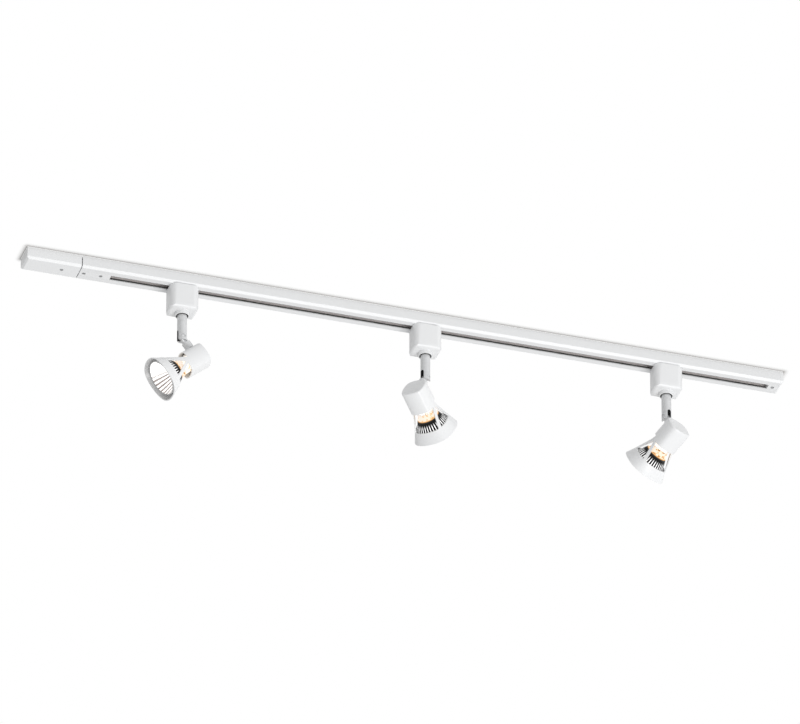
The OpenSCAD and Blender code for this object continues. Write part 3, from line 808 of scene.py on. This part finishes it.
# %% [markdown]
# ## Everything else keeps its CAD shape
# The strips, contacts, nuts and the terminal block are inside or nearly so. Their shapes are
# right already, and they only need their finishes.

# %% Finishes on the CAD nodes
slot_of = {part["node"]: part["material_slot"] for part in frame["record"]["subparts"]}
shown = 0
for node, thing in frame["nodes"].items():
    thing.data.materials.clear()
    thing.data.materials.append(FINISH[slot_of[node]])
    shown += 1
print("CAD nodes given a finish:", shown)

# %% [markdown]
# ## Ceiling, floor, light and camera
# The room is pale all round. The ceiling shows only as a faint warm contact shade beside the
# track, so it is a thin sheet that is clear everywhere else. A large soft lamp stands below in
# front, a little to the right, as the faces that look that way are the brightest. The room's own
# glow is weaker from the left, and a mix of two backgrounds keeps what lies behind plain white.


# %% Stage
def sheet_at(name, size_x, size_y, z, cells):
    """A level sheet of square cells, with its middle over the origin."""
    points, faces = [], []
    for row in range(cells + 1):
        for column in range(cells + 1):
            points.append((size_x * (column / cells - 0.5), size_y * (row / cells - 0.5), z))
    for row in range(cells):
        for column in range(cells):
            corner = row * (cells + 1) + column
            faces.append((corner, corner + 1, corner + cells + 2, corner + cells + 1))
    return build(name, points, faces, "white_track")


floor = sheet_at("floor", 160.0, 160.0, -12.0, 4)
pale = Finish("pale_floor", Roughness=0.9)
mottle = pale.noise(0.4, 2.0)
pale.feed("Base Color", pale.mix(mottle, grey(0.78), grey(0.82)))
floor.data.materials[0] = pale.material

# %% Contact shade on the ceiling
def beside(finish, coordinate, middle, half):
    """How far a place is beyond a span, and 0 inside it."""
    aside = finish.function("ABSOLUTE", coordinate - middle)
    return finish.function("MAXIMUM", aside - half, 0.0)


def ceiling_shade(reach):
    """A warm grey that fades out over a short way round the track."""
    finish = Finish("ceiling_shade", Roughness=1.0)
    spot = finish.place()
    x, y = finish.part(spot, 0), finish.part(spot, 1)
    start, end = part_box("feed_cover")[0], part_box("end_cap")[1]
    dx = beside(finish, x, (start.x + end.x) / 2, (end.x - start.x) / 2)
    dy = beside(finish, y, (start.y + end.y) / 2, (end.y - start.y) / 2)
    distance = (dx * dx + dy * dy) ** 0.5
    near = finish.function("MAXIMUM", 1.0 - distance * (1 / reach), 0.0)
    outside = finish.band(distance, 0.0, 0.0002)
    finish.feed("Alpha", 0.95 * near * near * outside)
    finish.feed("Base Color", finish.mix(finish.noise(40.0), grey(0.26, 0.05), grey(0.30, 0.05)))
    return finish.material


ceiling = sheet_at("ceiling", 1.6, 0.4, 0.0005, 8)
ceiling.data.materials[0] = ceiling_shade(10.0 * MM)
ceiling.visible_shadow = False
print("ceiling shade round the track:", ceiling.name)

# %% Light
scene = bpy.context.scene
scene.view_settings.view_transform = "Standard"
world = bpy.data.worlds.new("pale_room")
scene.world = world
world.use_nodes = True
room = world.node_tree
backdrop = room.nodes["Background"]
backdrop.inputs["Color"].default_value = (1.0, 1.0, 1.0, 1.0)
glow = room.nodes.new("ShaderNodeBackground")
direction = room.nodes.new("ShaderNodeTexCoord")
parts = room.nodes.new("ShaderNodeSeparateXYZ")
shade = room.nodes.new("ShaderNodeMapRange")
for name, value in {"From Min": -1.0, "From Max": 1.0, "To Min": 0.52, "To Max": 1.0}.items():
    shade.inputs[name].default_value = value
room.links.new(direction.outputs["Generated"], parts.inputs[0])
room.links.new(parts.outputs[0], shade.inputs["Value"])
room.links.new(shade.outputs[0], glow.inputs["Color"])
glow.inputs["Strength"].default_value = 1.0
path = room.nodes.new("ShaderNodeLightPath")
choice = room.nodes.new("ShaderNodeMixShader")
room.links.new(path.outputs["Is Camera Ray"], choice.inputs[0])
room.links.new(glow.outputs[0], choice.inputs[1])
room.links.new(backdrop.outputs[0], choice.inputs[2])
room.links.new(choice.outputs[0], room.nodes["World Output"].inputs[0])

KEY_FROM = Vector((0.3, -0.6, -0.78)).normalized()
KEY_DISTANCE = 8.0
lamp_data = bpy.data.lights.new("soft_lamp", "AREA")
lamp_data.size = 4.0
lamp_data.energy = 300.0
key = bpy.data.objects.new("soft_lamp", lamp_data)
key.location = KEY_FROM * KEY_DISTANCE
key.rotation_mode = "QUATERNION"
key.rotation_quaternion = (-KEY_FROM).to_track_quat("-Z", "Y")
scene.collection.objects.link(key)

# %% Camera
AZIMUTH, ELEVATION = math.radians(-17.3), math.radians(-32.0)
BACK = Vector((
    math.sin(AZIMUTH) * math.cos(ELEVATION),
    -math.cos(AZIMUTH) * math.cos(ELEVATION),
    math.sin(ELEVATION),
))
RIGHT = Vector((math.cos(AZIMUTH), math.sin(AZIMUTH), 0.0))
UP = BACK.cross(RIGHT)
DISTANCE = 20.0
feed_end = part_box("feed_cover")[0].x
look_at = Vector((feed_end + 0.559, 0, -0.040)) + RIGHT * -0.00348 + UP * -0.03187
camera_data = bpy.data.cameras.new("camera")
camera_data.lens = 634.0
camera_data.sensor_width = 36.0
camera_data.clip_end = 80.0
camera = bpy.data.objects.new("camera", camera_data)
camera.location = look_at + BACK * DISTANCE
camera.rotation_mode = "QUATERNION"
camera.rotation_quaternion = (-BACK).to_track_quat("-Z", "Y")
scene.collection.objects.link(camera)
scene.camera = camera
